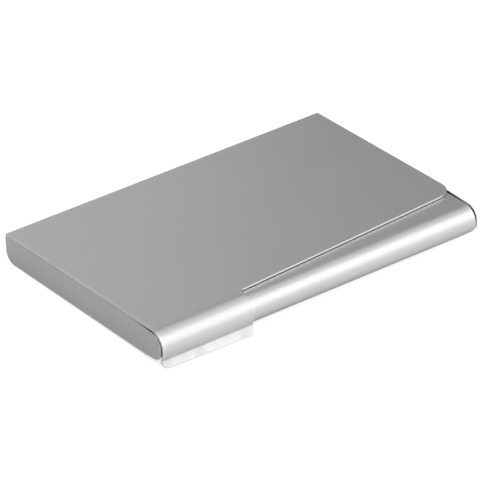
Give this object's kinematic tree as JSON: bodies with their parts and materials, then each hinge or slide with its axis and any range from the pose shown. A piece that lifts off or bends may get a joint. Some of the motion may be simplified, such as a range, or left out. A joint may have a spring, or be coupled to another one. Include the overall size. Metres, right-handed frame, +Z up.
{
  "type": "business card case",
  "caption": "Flat sheet-metal card case with a round front edge; a thumb tab wrapped around it turns the slant-fronted lid open.",
  "frame": {"origin": "middle of the flat underside of the tray", "axes": "+X along the long side towards the end without the thumb tab, +Y to the rear wall, +Z up through the lid"},
  "size_m": [0.093, 0.0641, 0.0096],
  "materials": {
    "satin_aluminium": "fine satin, blasted and anodised clear",
    "bracket_steel": "as rolled, bent",
    "pin_steel": "turned",
    "spring_wire": "drawn wire"
  },
  "bodies": {
    "tray": {"base_shell": "satin_aluminium", "left_end_plate": "satin_aluminium", "right_end_plate": "satin_aluminium", "card_stop": "satin_aluminium", "pin_carrier": "bracket_steel", "hinge_pin": "pin_steel"},
    "lid": {"lid": "satin_aluminium", "hinge_leaf": "bracket_steel", "return_spring": "spring_wire"}
  },
  "joints": [
    {"name": "lid_hinge", "type": "hinge", "parent": "tray", "child": "lid", "pos_m": [0, -0.0276, 0.00375], "axis": [1, 0, 0], "range_deg": [0, 38], "stiffness_Nm_per_rad": 0.006, "springref_deg": -45.84}
  ]
}
